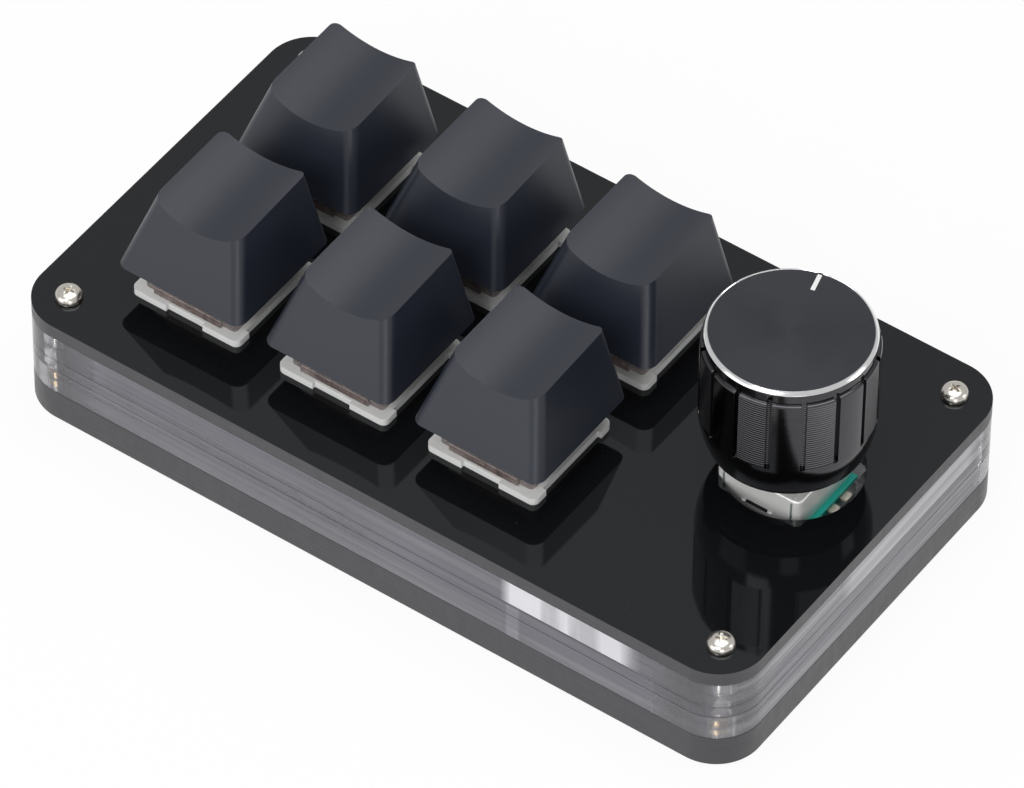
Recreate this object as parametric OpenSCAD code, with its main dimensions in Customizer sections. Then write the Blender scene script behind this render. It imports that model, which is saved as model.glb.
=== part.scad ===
// Macro keypad: six keys on mechanical switches and one push knob, in a sandwich of
// black and clear sheets. Millimetres. The origin is under the middle of the case,
// +X runs to the knob's end, +Y to the back and +Z up.

/* [Case] */
// Length of the case, from the left side to the knob's side
case_l = 104.4; // [102:0.2:124]
// Depth of the case, from front to back
case_w = 58.6; // [58:0.2:76]
// Radius of the four upright corners
corner_r = 6.2; // [5:0.1:9]
// Thickness of the black top plate
top_t = 2; // [1.6:0.1:2.6]
// Thickness of the clear upper frame
upper_t = 3.8; // [3.4:0.1:6]
// Thickness of the clear middle frame
middle_t = 1.8; // [1.5:0.1:3]
// Thickness of the clear lower frame
lower_t = 3.7; // [3.2:0.1:6]
// Thickness of the black bottom plate
bottom_t = 4.6; // [4.4:0.1:7]
// Wall of the clear frames
frame_wall = 4; // [3.6:0.1:4.4]
// Length of the solid corner of each frame, along X
corner_block_l = 12; // [10:0.5:13]
// Width of the solid corner of each frame, along Y
corner_block_w = 9; // [8.4:0.1:10]
// Width of the rib between the key bay and the knob bay
rib_w = 1.9; // [1.6:0.1:3]
// Distance of the rib's middle from the middle of the case
rib_x = 21.3; // [20.8:0.1:24]
// Gap between the switch bodies and the left side of the key window
window_gap = 0.5; // [0.4:0.1:2]
// Gap between the encoder and its window in the upper frame
bay_gap = 1; // [0.6:0.1:1.6]

/* [Screws] */
// Distance of each screw from the two nearest edges
screw_inset = 5; // [4.6:0.1:5.4]
// Diameter of the screws' shanks
screw_d = 2; // [1.6:0.1:2.5]
// Diameter of the pan heads
head_d = 3.5; // [3.2:0.1:4.4]
// Height of the pan heads
head_h = 1.3; // [1:0.1:1.8]
// Length of a screw under its head
screw_l = 12; // [11:0.5:13]
// Diameter of the threaded inserts
insert_d = 3.4; // [3:0.1:3.8]
// Length of the threaded inserts
insert_l = 4.2; // [3.6:0.1:5]
// Height of the inserts above the bottom plate
insert_up = 1.2; // [0.8:0.1:1.6]
// Radial clearance round the screws
screw_gap = 0.2; // [0.1:0.05:0.4]

/* [Keys] */
// Distance between the key columns
pitch_x = 21.6; // [19.05:0.05:22]
// Distance between the key rows
pitch_y = 22.6; // [19.05:0.05:24]
// Middle of the key grid along X
grid_x = -12.1; // [-13:0.1:-11]
// Middle of the key grid along Y
grid_y = -0.2; // [-1:0.1:1]

/* [Keycaps] */
// Width of a keycap at its base
cap_w = 18.16; // [17.6:0.02:18.4]
// Height from the keycap's base to its top corners
cap_h = 9.62; // [9.3:0.02:11]
// Width of the keycap's top
cap_top_w = 12.62; // [12:0.02:14]
// Distance of the top's front edge from the middle of the key
cap_top_front = 5.09; // [4.8:0.01:7]
// Distance of the top's back edge from the middle of the key
cap_top_back = 8.5; // [7:0.01:8.6]
// Depth of the dish in the keycap's top
dish_depth = 1.42; // [0.6:0.02:1.7]
// Tilt of the dish, rising to the back, in degrees
dish_tilt = 2.1; // [0:0.1:4]
// Radius of the keycap's two front upright edges
cap_corner_r = 1.5; // [1:0.1:2.4]
// Radius of the keycap's two back upright edges
cap_back_r = 1.1; // [0.8:0.1:2.4]
// Wall of the keycap
cap_wall = 1.25; // [1:0.05:1.4]
// Thickness of the keycap under the middle of the dish
cap_roof = 1.3; // [1:0.05:1.6]
// Diameter of the socket inside the keycap
socket_d = 5.1; // [4.9:0.05:5.2]
// Height of the keycap's base above the top plate
cap_lift = 5.57; // [5.4:0.01:6.4]

/* [Switches] */
// Width of the flange that sits on the plate
flange_w = 15.8; // [15.2:0.1:16.2]
// Height of the flange
flange_h = 1; // [0.8:0.05:1.2]
// Radius of the flange's corners
flange_r = 0.9; // [0.5:0.1:1.2]
// Depth of the recess between the flange's corner tabs
flange_recess = 0.5; // [0.3:0.05:0.7]
// Length of a corner tab along the front
tab_front = 5.2; // [4:0.1:6]
// Length of a corner tab along the side
tab_side = 2.3; // [1.5:0.1:4]
// Width of the switch body under the flange
body_w = 13.9; // [13.7:0.05:14]
// Clearance between the switch body and its cut-out
body_gap = 0.05; // [0.03:0.01:0.1]
// Depth of the switch body under the top of the plate
body_depth = 5; // [4.8:0.1:5.1]
// Floor of the lower housing
base_wall = 1; // [0.8:0.05:1.2]
// Width of the hollow inside both housings
cavity_w = 10.2; // [9.8:0.05:10.3]
// Height of the switch's top above the plate
switch_h = 6.6; // [6.4:0.1:6.8]
// Wall of the upper housing
top_wall = 0.9; // [0.7:0.05:1.1]
// Width of the upper housing at its foot
top_foot_w = 13.4; // [13.2:0.1:13.6]
// Width of the upper housing's roof along X
top_roof_w = 10.6; // [10:0.1:11]
// Depth of the upper housing's roof along Y
top_roof_d = 9.8; // [9.4:0.1:10]
// Width of the window block at the housing's front
window_w = 9.9; // [9:0.1:10.4]
// Distance that a key travels
key_travel = 4; // [3:0.1:4]
// Width of the stem along X
stem_w = 7; // [6.8:0.05:7.2]
// Depth of the stem along Y
stem_d = 5.6; // [5.5:0.05:5.8]
// Clearance between the stem and the upper housing
stem_gap = 0.08; // [0.04:0.01:0.1]
// Height of the cross above the stem's shoulder
cross_h = 3.6; // [3:0.1:3.8]
// Span of the cross
cross_span = 4; // [3.9:0.02:4.1]
// Thickness of the cross's arms
cross_t = 1.2; // [1.1:0.02:1.3]
// Diameter of the pole under the stem
pole_d = 2.1; // [1.8:0.05:2.2]
// Radial clearance of the pole in the housing's tube
pole_gap = 0.07; // [0.03:0.01:0.1]
// Mean diameter of the coil spring
spring_d = 4; // [3.9:0.02:4.1]
// Diameter of the spring's wire
wire_d = 0.36; // [0.3:0.02:0.4]
// Number of turns in the spring
spring_turns = 6; // [5:1:8]
// Diameter of the peg that locates the switch in the board
peg_d = 4; // [3.8:0.1:4.2]
// Length of the peg and the pins below the switch body
peg_l = 3.3; // [3:0.1:3.5]

/* [Board] */
// Thickness of the circuit board
board_t = 1.6; // [1.2:0.1:1.7]
// Gap between the board's edge and the middle frame
board_gap = 0.3; // [0.3:0.1:0.7]
// Radial clearance of the pegs and pins in the board
hole_gap = 0.1; // [0.05:0.05:0.2]

/* [Socket] */
// Width of the charging and data socket
usb_w = 8.94; // [8.8:0.02:9.2]
// Height of the socket
usb_h = 3.16; // [3:0.02:3.2]
// Depth of the socket
usb_depth = 7.35; // [6.6:0.05:8]
// Wall of the socket's metal shell
usb_wall = 0.3; // [0.2:0.05:0.35]
// Middle of the socket along X
usb_x = -12.1; // [-30:0.1:12]
// Distance of the socket's mouth from the back of the case
usb_set_back = 0.6; // [0.2:0.1:1.5]
// Gap between the socket and the upper frame's notch
usb_gap = 0.3; // [0.2:0.1:0.8]

/* [Encoder] */
// Distance of the shaft from the knob's end of the case
knob_inset = 14.8; // [14.6:0.1:15.8]
// Place of the shaft along Y
knob_y = 3.3; // [-4:0.1:5]
// Diameter of the hole in the top plate
encoder_hole_d = 17.4; // [17.2:0.1:18.4]
// Distance of the hole's middle from the shaft along X
hole_shift_x = 0.7; // [0:0.1:0.8]
// Distance of the hole's middle from the shaft along Y
hole_shift_y = 0.5; // [0:0.1:0.5]
// Width of the encoder's cover along X
encoder_w = 11.8; // [11.4:0.1:12.4]
// Depth of the encoder's cover along Y
encoder_d = 11.9; // [11.6:0.1:12]
// Radius of the cover's upright edges
cover_r = 1; // [0.8:0.1:1.4]
// Height of the cover above the board
encoder_h = 8; // [7.8:0.1:8.6]
// Thickness of the cover's sheet
sheet_t = 0.5; // [0.4:0.05:0.6]
// Height of the cover's skirt on the pin sides
skirt_h = 4.5; // [4:0.1:5]
// Width of the slits between the cover's flaps and its skirt
slit_w = 0.3; // [0.2:0.05:0.4]
// Distance that the base's lip stands out from the skirt
lip_out = 0.75; // [0.5:0.05:0.9]
// Thickness of the base's lip
lip_h = 0.5; // [0.4:0.05:0.6]
// Diameter of the bushing
bushing_d = 7; // [6.9:0.05:7.2]
// Height of the bushing above the cover
bushing_h = 7; // [6:0.1:7.5]
// Diameter of the shaft
shaft_d = 6; // [5.9:0.02:6.04]
// Radial clearance of the shaft in its bushing
shaft_gap = 0.05; // [0.03:0.01:0.1]
// Height of the shaft above the cover
shaft_h = 15; // [14:0.1:16]
// Depth of the flat on the shaft
shaft_flat = 1.5; // [1.2:0.1:1.6]
// Distance that the knob is pushed
push_travel = 0.5; // [0.3:0.05:0.6]

/* [Knob] */
// Diameter of the knob's grip
grip_d = 21.2; // [20:0.1:23]
// Height of the knob
knob_h = 17.8; // [17.2:0.1:20]
// Height of the knob's base above the top plate
knob_lift = 5.4; // [4.5:0.1:6]
// Diameter of the neck above the grip
neck_d = 20.4; // [19.4:0.1:21]
// Height of the neck, chamfer included
neck_h = 1.9; // [1.4:0.1:2.6]
// Diameter of the flat top inside the chamfer
face_d = 19.6; // [18:0.1:20]
// Height of the bright chamfer
chamfer_h = 0.45; // [0.2:0.05:0.6]
// Diameter of the knob's foot
foot_d = 19.4; // [18.8:0.1:20.4]
// Height of the smooth collar under the grip
collar_h = 5; // [3.5:0.1:6]
// Number of grooves round the grip
groove_count = 16; // [10:1:20]
// Width of a groove
groove_w = 0.9; // [0.6:0.05:1.2]
// Depth of a groove
groove_depth = 0.5; // [0.3:0.05:0.7]
// Turn of the first groove from +X, in degrees
groove_turn = 20.5; // [0:0.5:22]
// Diameter of the knob's plastic core
core_d = 16.8; // [15:0.1:17]
// Thickness of metal over the core
knob_roof = 3; // [2.4:0.1:4]
// Length of the pointer groove in the knob's top
pointer_l = 2.9; // [2:0.1:5]
// Width of the pointer groove
pointer_w = 0.6; // [0.5:0.1:1.4]
// Depth of the pointer groove
pointer_depth = 0.15; // [0.1:0.05:0.3]
// Turn of the pointer from +X, in degrees
pointer_turn = 104; // [0:1:180]

/* [Hidden] */
key_columns = 3;
key_rows = 2;
key_count = key_columns * key_rows;
keys = [1 : key_count];

eps = 0.01;
smooth = 96;
fine = 32;

// Levels of the stack, from the surface that the case stands on
lower_z = bottom_t;
middle_z = lower_z + lower_t;
upper_z = middle_z + middle_t;
top_z = upper_z + upper_t;
plate_z = top_z + top_t;
board_top = upper_z;
board_z = board_top - board_t;

// Screws and threaded inserts
screw_x = case_l / 2 - screw_inset;
screw_y = case_w / 2 - screw_inset;
insert_z = bottom_t + insert_up - insert_l;
insert_seat = 0.02;
recess_d = 1.9;
recess_t = 0.5;
recess_depth = 0.8;

// Switch levels, counted from the top of the plate
floor_z = -body_depth + base_wall;
stem_set = 0.1;
stem_roof = 2;
coil_gap = 0.17;
run_out = 0.3;
pole_hold = 1.9;
shoulder_z = switch_h - stem_set;
stem_foot_z = flange_h + stem_set;
pocket_z = shoulder_z - stem_roof;
tube_d = spring_d - wire_d - 2 * coil_gap;
tube_top_z = pocket_z - key_travel - run_out;
pole_foot_z = tube_top_z - pole_hold;
bore_foot_z = pole_foot_z - key_travel - run_out;
pocket_d = spring_d + wire_d + 2 * coil_gap;
cut_out = body_w + 2 * body_gap;
step_z = -2.4;
step_in = 0.45;
window_h = 2.6;
window_in = 0.25;
window_t = 1.4;
foot_h = 1.2;
wing_w = 8.2;
wing_d = 4;
wing_drop = 0.05;

// Contact leaves of a switch: place of each pin from the middle of the key
leaf_places = [[-3.81, 3.4], [2.54, 4.6]];
leaf_w = 2;
leaf_t = 0.3;
leaf_top_z = 0.4;
pin_w = 0.9;

// Keycap
cap_slope_x = (cap_w - cap_top_w) / 2 / cap_h;
cap_slope_front = (cap_w / 2 - cap_top_front) / cap_h;
cap_slope_back = (cap_w / 2 - cap_top_back) / cap_h;
dish_r = (pow(cap_top_w / 2, 2) + pow(dish_depth, 2)) / (2 * dish_depth);
dish_z = cap_h - dish_depth + dish_r;
cap_over = 0.6;
cap_ceiling = cap_h - dish_depth - cap_roof;
cap_inner_r = 0.7;
socket_foot = shoulder_z - cap_lift;
socket_slack = 0.05;

// Socket in the board's back edge
usb_mouth_y = case_w / 2 - usb_set_back;
usb_z = board_top;
usb_r = 1.1;
tongue_w = 6.7;
tongue_t = 0.7;
tongue_l = 4.6;
tongue_foot = 1;
notch_w = usb_w + 2 * usb_gap;

// Small parts under the board
chip_l = 9.9;
chip_w = 3.9;
chip_h = 1.5;
lead_count = 8;
lead_pitch = 1.27;
lead_w = 0.42;
lead_t = 0.25;
lead_reach = 1.05;
chip_x = grid_x + pitch_x / 2;
chip_stand = 0.1;
chip_part = [2, 1.25, 0.7];
part_places = [[-8, 0], [-5, 0], [8, 0], [11, 0], [14, 0]];

// Encoder place and levels
knob_x = case_l / 2 - knob_inset;
cover_z = board_top + encoder_h;
bore_d = shaft_d + 2 * shaft_gap;
well_d = 8.2;
well_floor = 1.6;
well_z = board_top + well_floor;
bushing_flange_d = 7.8;
bushing_flange_h = 0.8;
rotor_gap = 0.3;
rotor_d = well_d - 2 * rotor_gap;
rotor_z = well_z + rotor_gap;
rotor_t = cover_z - sheet_t - bushing_flange_h - rotor_gap - rotor_z;
key_shaft_d = 4.4;
key_shaft_flat = 3.4;
key_gap = 0.05;
shaft_step_z = cover_z - sheet_t - bushing_flange_h + push_travel;
dome_d = 3.6;
dome_h = 0.3;
dome_well_d = 5;
dome_floor = 0.6;
dome_z = board_top + dome_floor;
foot_gap = 0.05;
shaft_foot_z = dome_z + dome_h + push_travel + foot_gap;
shaft_top_z = cover_z + shaft_h;
flat_up = 0.6;
flat_l = shaft_h - bushing_h - flat_up;
slit_x = encoder_w / 2 - cover_r - slit_w / 2;
slit_drop = 0.3;
lug_w = 2.1;
lug_l = 3.2;
slot_w = 3;
slot_h = 0.3;
slot_drop = 4;
lance_end = 0.6;
lance_out = 0.25;
lance_h = 0.9;
lip_gap = 0.45;
pin_pitch = 2.5;
encoder_pin_w = 0.8;
encoder_pin_t = 0.4;
encoder_arm_w = 1.3;
pin_out = 1.4;
pin_rise = 2.8;
pin_side = 1.8;
pin_end = 0.7;
base_in = 0.35;

// Knob levels
knob_z = plate_z + knob_lift;
knob_top_z = knob_z + knob_h;
grip_top = knob_h - neck_h;
core_in = 1;
core_z = knob_z + core_in;
core_top_z = knob_top_z - knob_roof;
core_step = 0.4;
core_bore_z = cover_z + bushing_h + push_travel + core_step;
core_play = 0.5;
core_clear_d = bushing_d + 2 * core_play;
core_gap = 0.03;
rim_in = 0.5;

function key_x(i) = grid_x + ((i - 1) % key_columns - (key_columns - 1) / 2) * pitch_x;
function key_y(i) = grid_y + ((key_rows - 1) / 2 - floor((i - 1) / key_columns)) * pitch_y;

// Outline of the keycap at a height above its base
function cap_side(h) = cap_w / 2 - cap_slope_x * h;
function cap_front(h) = -cap_w / 2 + cap_slope_front * h;
function cap_back(h) = cap_w / 2 - cap_slope_back * h;

// A box centred on X and Y that stands on z = 0
module block(size) {
    translate([-size[0] / 2, -size[1] / 2, 0])
        cube(size);
}

// A rectangle with round corners, drawn flat
module round_rect(l, w, r) {
    square([l - 2 * r, w], center = true);
    square([l, w - 2 * r], center = true);
    for (sx = [-1, 1], sy = [-1, 1])
        translate([sx * (l / 2 - r), sy * (w / 2 - r)])
            circle(r = r, $fn = smooth);
}

module case_outline() {
    round_rect(case_l, case_w, corner_r);
}

module at_screws() {
    for (sx = [-1, 1], sy = [-1, 1])
        translate([sx * screw_x, sy * screw_y])
            children();
}

module at_key(i) {
    translate([key_x(i), key_y(i), plate_z])
        children();
}

module at_keys() {
    for (i = keys)
        at_key(i)
            children();
}

module at_knob(z) {
    translate([knob_x, knob_y, z])
        children();
}

// Bay of the middle and lower frames, less its four solid corners
module frame_bay() {
    bay_l = case_l - 2 * frame_wall;
    bay_w = case_w - 2 * frame_wall;
    difference() {
        square([bay_l, bay_w], center = true);
        for (sx = [-1, 1], sy = [-1, 1])
            translate([sx * case_l / 2, sy * case_w / 2])
                square([2 * corner_block_l, 2 * corner_block_w], center = true);
    }
}

// Windows of the upper frame: one round the switches and one round the encoder
module upper_windows() {
    left = key_x(1) - body_w / 2 - window_gap;
    translate([left, -case_w / 2 + frame_wall])
        square([rib_x - rib_w / 2 - left, case_w - 2 * frame_wall]);
    translate([knob_x, knob_y]) {
        square([encoder_w + 2 * (lip_out + lip_gap), encoder_d + 2 * bay_gap], center = true);
        square([encoder_w + 2 * (pin_out + pin_end), 2 * (pin_pitch + pin_side)], center = true);
    }
    translate([usb_x, case_w / 2])
        square([notch_w, 3 * frame_wall], center = true);
}

module screw_holes(d) {
    at_screws()
        circle(d = d + 2 * screw_gap, $fn = smooth);
}

module top_plate() {
    color("#1b1c20")
        translate([0, 0, top_z])
            linear_extrude(top_t)
                difference() {
                    case_outline();
                    for (i = keys)
                        translate([key_x(i), key_y(i)])
                            square(cut_out, center = true);
                    translate([knob_x + hole_shift_x, knob_y + hole_shift_y])
                        circle(d = encoder_hole_d, $fn = smooth);
                    screw_holes(screw_d);
                }
}

module upper_frame() {
    color("#c9c9d2", 0.5)
        translate([0, 0, upper_z])
            linear_extrude(upper_t)
                difference() {
                    case_outline();
                    upper_windows();
                    screw_holes(screw_d);
                }
}

module middle_frame() {
    color("#c3c5cc", 0.5)
        translate([0, 0, middle_z])
            linear_extrude(middle_t)
                difference() {
                    case_outline();
                    frame_bay();
                    screw_holes(screw_d);
                }
}

module lower_frame() {
    color("#c9c9d2", 0.5)
        translate([0, 0, lower_z])
            linear_extrude(lower_t) {
                difference() {
                    case_outline();
                    frame_bay();
                    screw_holes(insert_d);
                }
                translate([rib_x, 0])
                    square([rib_w, case_w - frame_wall], center = true);
            }
}

module bottom_plate() {
    color("#232428")
        difference() {
            linear_extrude(bottom_t)
                case_outline();
            at_screws()
                translate([0, 0, insert_z])
                    cylinder(d = insert_d + 2 * insert_seat, h = insert_l, $fn = smooth);
        }
}

module threaded_inserts() {
    color("#c9a45a")
        at_screws()
            translate([0, 0, insert_z])
                difference() {
                    cylinder(d = insert_d, h = insert_l, $fn = smooth);
                    translate([0, 0, -eps])
                        cylinder(d = screw_d + screw_gap / 2, h = insert_l + 2 * eps, $fn = smooth);
                }
}

// A pan head screw that hangs down from z = 0, with a cross recess
module pan_screw() {
    difference() {
        rotate_extrude($fn = smooth)
            intersection() {
                translate([0, -screw_l])
                    square([head_d, screw_l + head_h]);
                union() {
                    translate([0, -screw_l])
                        square([screw_d / 2, screw_l + eps]);
                    square([head_d / 2, head_h / 3]);
                    translate([0, head_h / 3])
                        intersection() {
                            square([head_d / 2, head_h]);
                            translate([0, head_h * 2 / 3 - head_d * 0.8])
                                circle(r = head_d * 0.8, $fn = smooth);
                        }
                }
            }
        for (turn = [0, 90])
            rotate(turn)
                translate([0, 0, head_h - recess_depth])
                    block([recess_d, recess_t, head_h]);
    }
}

module case_screws() {
    color("#c8c2b4")
        at_screws()
            translate([0, 0, plate_z])
                rotate(30)
                    pan_screw();
}

module circuit_board() {
    board_l = case_l - 2 * frame_wall - 2 * board_gap;
    board_w = case_w - 2 * frame_wall - 2 * board_gap;
    corner = [corner_block_l + board_gap, corner_block_w + board_gap];
    color("#e6e6e0")
        translate([0, 0, board_z])
            linear_extrude(board_t)
                difference() {
                    square([board_l, board_w], center = true);
                    for (sx = [-1, 1], sy = [-1, 1])
                        translate([sx * case_l / 2, sy * case_w / 2])
                            square(2 * corner, center = true);
                    for (i = keys)
                        translate([key_x(i), key_y(i)])
                            board_holes();
                    translate([knob_x, knob_y])
                        encoder_holes();
                }
}

// Holes under one switch: its peg and its two pins
module board_holes() {
    circle(d = peg_d + 2 * hole_gap, $fn = smooth);
    for (p = leaf_places)
        translate(p)
            circle(d = pin_w + 4 * hole_gap, $fn = fine);
}

// Holes under the encoder: two lugs in slots, three pins and two pins
module encoder_holes() {
    for (s = [-1, 1])
        translate([0, s * (encoder_d - sheet_t) / 2])
            square([lug_w + 2 * hole_gap, sheet_t + 2 * hole_gap], center = true);
    for (p = encoder_pin_places())
        translate([p[0], p[1]])
            circle(d = encoder_pin_w + 4 * hole_gap, $fn = fine);
}

function encoder_pin_places() = concat(
    [for (j = [-1 : 1]) [encoder_w / 2 + pin_out, j * pin_pitch, 1]],
    [for (j = [-1, 1]) [-encoder_w / 2 - pin_out, j * pin_pitch, -1]]
);

module controller_chip() {
    color("#17181a")
        translate([chip_x, grid_y, board_z - chip_h - chip_stand]) {
            block([chip_l, chip_w, chip_h]);
            for (s = [-1, 1], j = [0 : lead_count - 1])
                translate([(j - (lead_count - 1) / 2) * lead_pitch, 0, 0])
                    chip_lead(s);
        }
}

// One bent lead, from the chip's side up to the board
module chip_lead(side) {
    foot_y = chip_w / 2 + lead_reach;
    mid_z = chip_h / 2;
    for (part = [[chip_w / 2 - eps, foot_y - lead_reach / 2, mid_z, mid_z + lead_t],
                 [foot_y - lead_reach / 2 - lead_t, foot_y - lead_reach / 2, mid_z, chip_h + chip_stand],
                 [foot_y - lead_reach / 2 - lead_t, foot_y, chip_h + chip_stand - lead_t, chip_h + chip_stand]])
        translate([-lead_w / 2, side > 0 ? part[0] : -part[1], part[2]])
            cube([lead_w, part[1] - part[0], part[3] - part[2]]);
}

module board_parts() {
    color("#8a7a62")
        for (p = part_places)
            translate([usb_x + p[0] + sign(p[0]) * usb_w / 4, usb_mouth_y - usb_depth + p[1], board_z - chip_part[2]])
                block(chip_part);
}

module usb_section(inset) {
    w = usb_w - 2 * inset;
    h = usb_h - 2 * inset;
    round_rect(w, h, usb_r - inset);
}

module usb_shell() {
    color("#b9bcc2")
        translate([usb_x, usb_mouth_y, usb_z + usb_h / 2])
            rotate([90, 0, 0])
                difference() {
                    linear_extrude(usb_depth)
                        usb_section(0);
                    translate([0, 0, -eps])
                        linear_extrude(usb_depth - usb_wall + eps)
                            usb_section(usb_wall);
                }
}

module usb_tongue() {
    color("#15161a")
        translate([usb_x, usb_mouth_y - usb_depth + usb_wall, usb_z + usb_h / 2 - tongue_t / 2]) {
            translate([0, tongue_l / 2, 0])
                block([tongue_w, tongue_l, tongue_t]);
            translate([0, tongue_foot / 2, tongue_t / 2 - usb_h / 2 + usb_wall])
                block([tongue_w, tongue_foot, usb_h - 2 * usb_wall]);
        }
}

// Flange outline: round corners, and a recess between the tabs of each side
module flange_outline() {
    half = flange_w / 2;
    difference() {
        round_rect(flange_w, flange_w, flange_r);
        for (s = [-1, 1]) {
            translate([0, s * half])
                square([flange_w - 2 * tab_front, 2 * flange_recess], center = true);
            translate([s * half, 0])
                square([2 * flange_recess, flange_w - 2 * tab_side], center = true);
        }
    }
}

module switch_base() {
    color("#e4e4e0")
        difference() {
            union() {
                linear_extrude(flange_h)
                    flange_outline();
                translate([0, 0, step_z])
                    block([body_w, body_w, -step_z + eps]);
                translate([0, 0, -body_depth])
                    block([body_w - 2 * step_in, body_w - 2 * step_in, body_depth + step_z + eps]);
                translate([0, 0, -body_depth - peg_l])
                    cylinder(d = peg_d, h = peg_l + eps, $fn = smooth);
            }
            difference() {
                translate([0, 0, floor_z])
                    block([cavity_w, cavity_w, flange_h - floor_z + eps]);
                translate([0, 0, floor_z - eps])
                    cylinder(d = tube_d, h = tube_top_z - floor_z + eps, $fn = smooth);
            }
            translate([0, 0, bore_foot_z])
                cylinder(d = pole_d + 2 * pole_gap, h = tube_top_z - bore_foot_z + eps, $fn = smooth);
            for (p = leaf_places)
                translate([p[0], p[1], -body_depth - eps])
                    block([pin_w + 2 * eps, leaf_t + 2 * eps, base_wall + 2 * eps]);
        }
}

// The leaning walls of the upper housing, drawn in by an inset
module housing_form(inset, foot_z, roof_z) {
    hull() {
        translate([0, 0, foot_z])
            block([top_foot_w - 2 * inset, top_foot_w - 2 * inset, foot_h]);
        translate([0, 0, roof_z - eps])
            block([top_roof_w - 2 * inset, top_roof_d - 2 * inset, eps]);
    }
}

module switch_top() {
    color("#b9a7a4", 0.6)
        difference() {
            union() {
                housing_form(0, flange_h, switch_h);
                translate([0, -top_foot_w / 2 + window_in + window_t / 2, flange_h])
                    block([window_w, window_t, window_h]);
            }
            intersection() {
                housing_form(top_wall, flange_h - eps, switch_h - top_wall);
                block([cavity_w, cavity_w, switch_h]);
            }
            translate([0, 0, switch_h / 2])
                block([stem_w + 2 * stem_gap, stem_d + 2 * stem_gap, switch_h]);
        }
}

module cross_form(grow) {
    block([cross_span + 2 * grow, cross_t + 2 * grow, cross_h + grow]);
    block([cross_t + 2 * grow, cross_span + 2 * grow, cross_h + grow]);
}

module stem() {
    color("#b5302c") {
        difference() {
            translate([0, 0, stem_foot_z]) {
                block([stem_w, stem_d, shoulder_z - stem_foot_z]);
                block([wing_w, wing_d, switch_h - top_wall - wing_drop - stem_foot_z]);
            }
            translate([0, 0, stem_foot_z - eps])
                cylinder(d = pocket_d, h = pocket_z - stem_foot_z + eps, $fn = smooth);
        }
        translate([0, 0, pole_foot_z])
            cylinder(d = pole_d, h = pocket_z - pole_foot_z + eps, $fn = smooth);
        translate([0, 0, shoulder_z - eps])
            cross_form(0);
    }
}

// Points of the coil: rings of a few sides that climb from the floor to the stem
coil_steps = 12;
coil_sides = 5;
coil_rings = spring_turns * coil_steps;
coil_low = floor_z + wire_d / 2;
coil_high = pocket_z - wire_d / 2;
coil_flat = 1 / spring_turns;

// Height of the coil: flat for its first and last turn, even between
function coil_rise(t) = min(1, max(0, (t - coil_flat) / (1 - 2 * coil_flat)));
function coil_z(t) =
    coil_low + (coil_high - coil_low - 2 * wire_d) * coil_rise(t)
    + wire_d * min(1, t / coil_flat) + wire_d * max(0, (t - 1 + coil_flat) / coil_flat);
function coil_point(t, side) =
    let (turn = 360 * spring_turns * t, lean = 360 * side / coil_sides, r = spring_d / 2 + wire_d / 2 * cos(lean))
    [r * cos(turn), r * sin(turn), coil_z(t) + wire_d / 2 * sin(lean)];

module spring() {
    points = [for (i = [0 : coil_rings], j = [0 : coil_sides - 1]) coil_point(i / coil_rings, j)];
    sides = [
        for (i = [0 : coil_rings - 1], j = [0 : coil_sides - 1])
            let (a = i * coil_sides + j, b = i * coil_sides + (j + 1) % coil_sides)
            each [[a, b, b + coil_sides], [a, b + coil_sides, a + coil_sides]]
    ];
    foot = [[for (j = [0 : coil_sides - 1]) coil_sides - 1 - j]];
    head = [[for (j = [0 : coil_sides - 1]) coil_rings * coil_sides + j]];
    color("#c9ccd2")
        polyhedron(points = points, faces = concat(sides, foot, head));
}

// The keycap's leaning walls between two heights, drawn in by an inset
module cap_form(inset, low, high, front_r, back_r) {
    hull()
        for (h = [low, high], sx = [-1, 1]) {
            translate([sx * (cap_side(h) - inset - front_r), cap_front(h) + inset + front_r, h])
                cylinder(r = front_r, h = eps, $fn = fine);
            translate([sx * (cap_side(h) - inset - back_r), cap_back(h) - inset - back_r, h])
                cylinder(r = back_r, h = eps, $fn = fine);
        }
}

module keycap() {
    color("#3d4149")
        translate([0, 0, cap_lift]) {
            difference() {
                cap_form(0, 0, cap_h + cap_over, cap_corner_r, cap_back_r);
                cap_form(cap_wall, -eps, cap_ceiling, cap_inner_r, cap_inner_r);
                translate([0, 0, dish_z])
                    rotate([90 + dish_tilt, 0, 0])
                        cylinder(r = dish_r, h = 2 * cap_w, center = true, $fn = smooth);
            }
            difference() {
                translate([0, 0, socket_foot])
                    cylinder(d = socket_d, h = cap_ceiling - socket_foot + eps, $fn = smooth);
                translate([0, 0, socket_foot - eps])
                    cross_form(socket_slack);
            }
        }
}

module switch_contacts() {
    color("#c08a4a")
        at_keys()
            for (p = leaf_places)
                translate([p[0], p[1], 0]) {
                    translate([0, 0, floor_z])
                        block([leaf_w, leaf_t, leaf_top_z - floor_z]);
                    translate([0, 0, -body_depth - peg_l])
                        block([pin_w, leaf_t, peg_l + base_wall + eps]);
                }
}

// Outline of the encoder's cover, drawn in by an inset
module cover_outline(inset) {
    round_rect(encoder_w - 2 * inset, encoder_d - 2 * inset, cover_r - inset);
}

module encoder_base() {
    color("#12a594")
        difference() {
            union() {
                at_knob(board_top)
                    linear_extrude(encoder_h - sheet_t)
                        cover_outline(sheet_t);
                at_knob(cover_z - skirt_h - lip_h)
                    block([encoder_w + 2 * lip_out, encoder_d - 2 * sheet_t, lip_h]);
            }
            at_knob(well_z)
                cylinder(d = well_d, h = encoder_h, $fn = smooth);
            at_knob(dome_z)
                cylinder(d = dome_well_d, h = encoder_h, $fn = smooth);
        }
}

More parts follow.
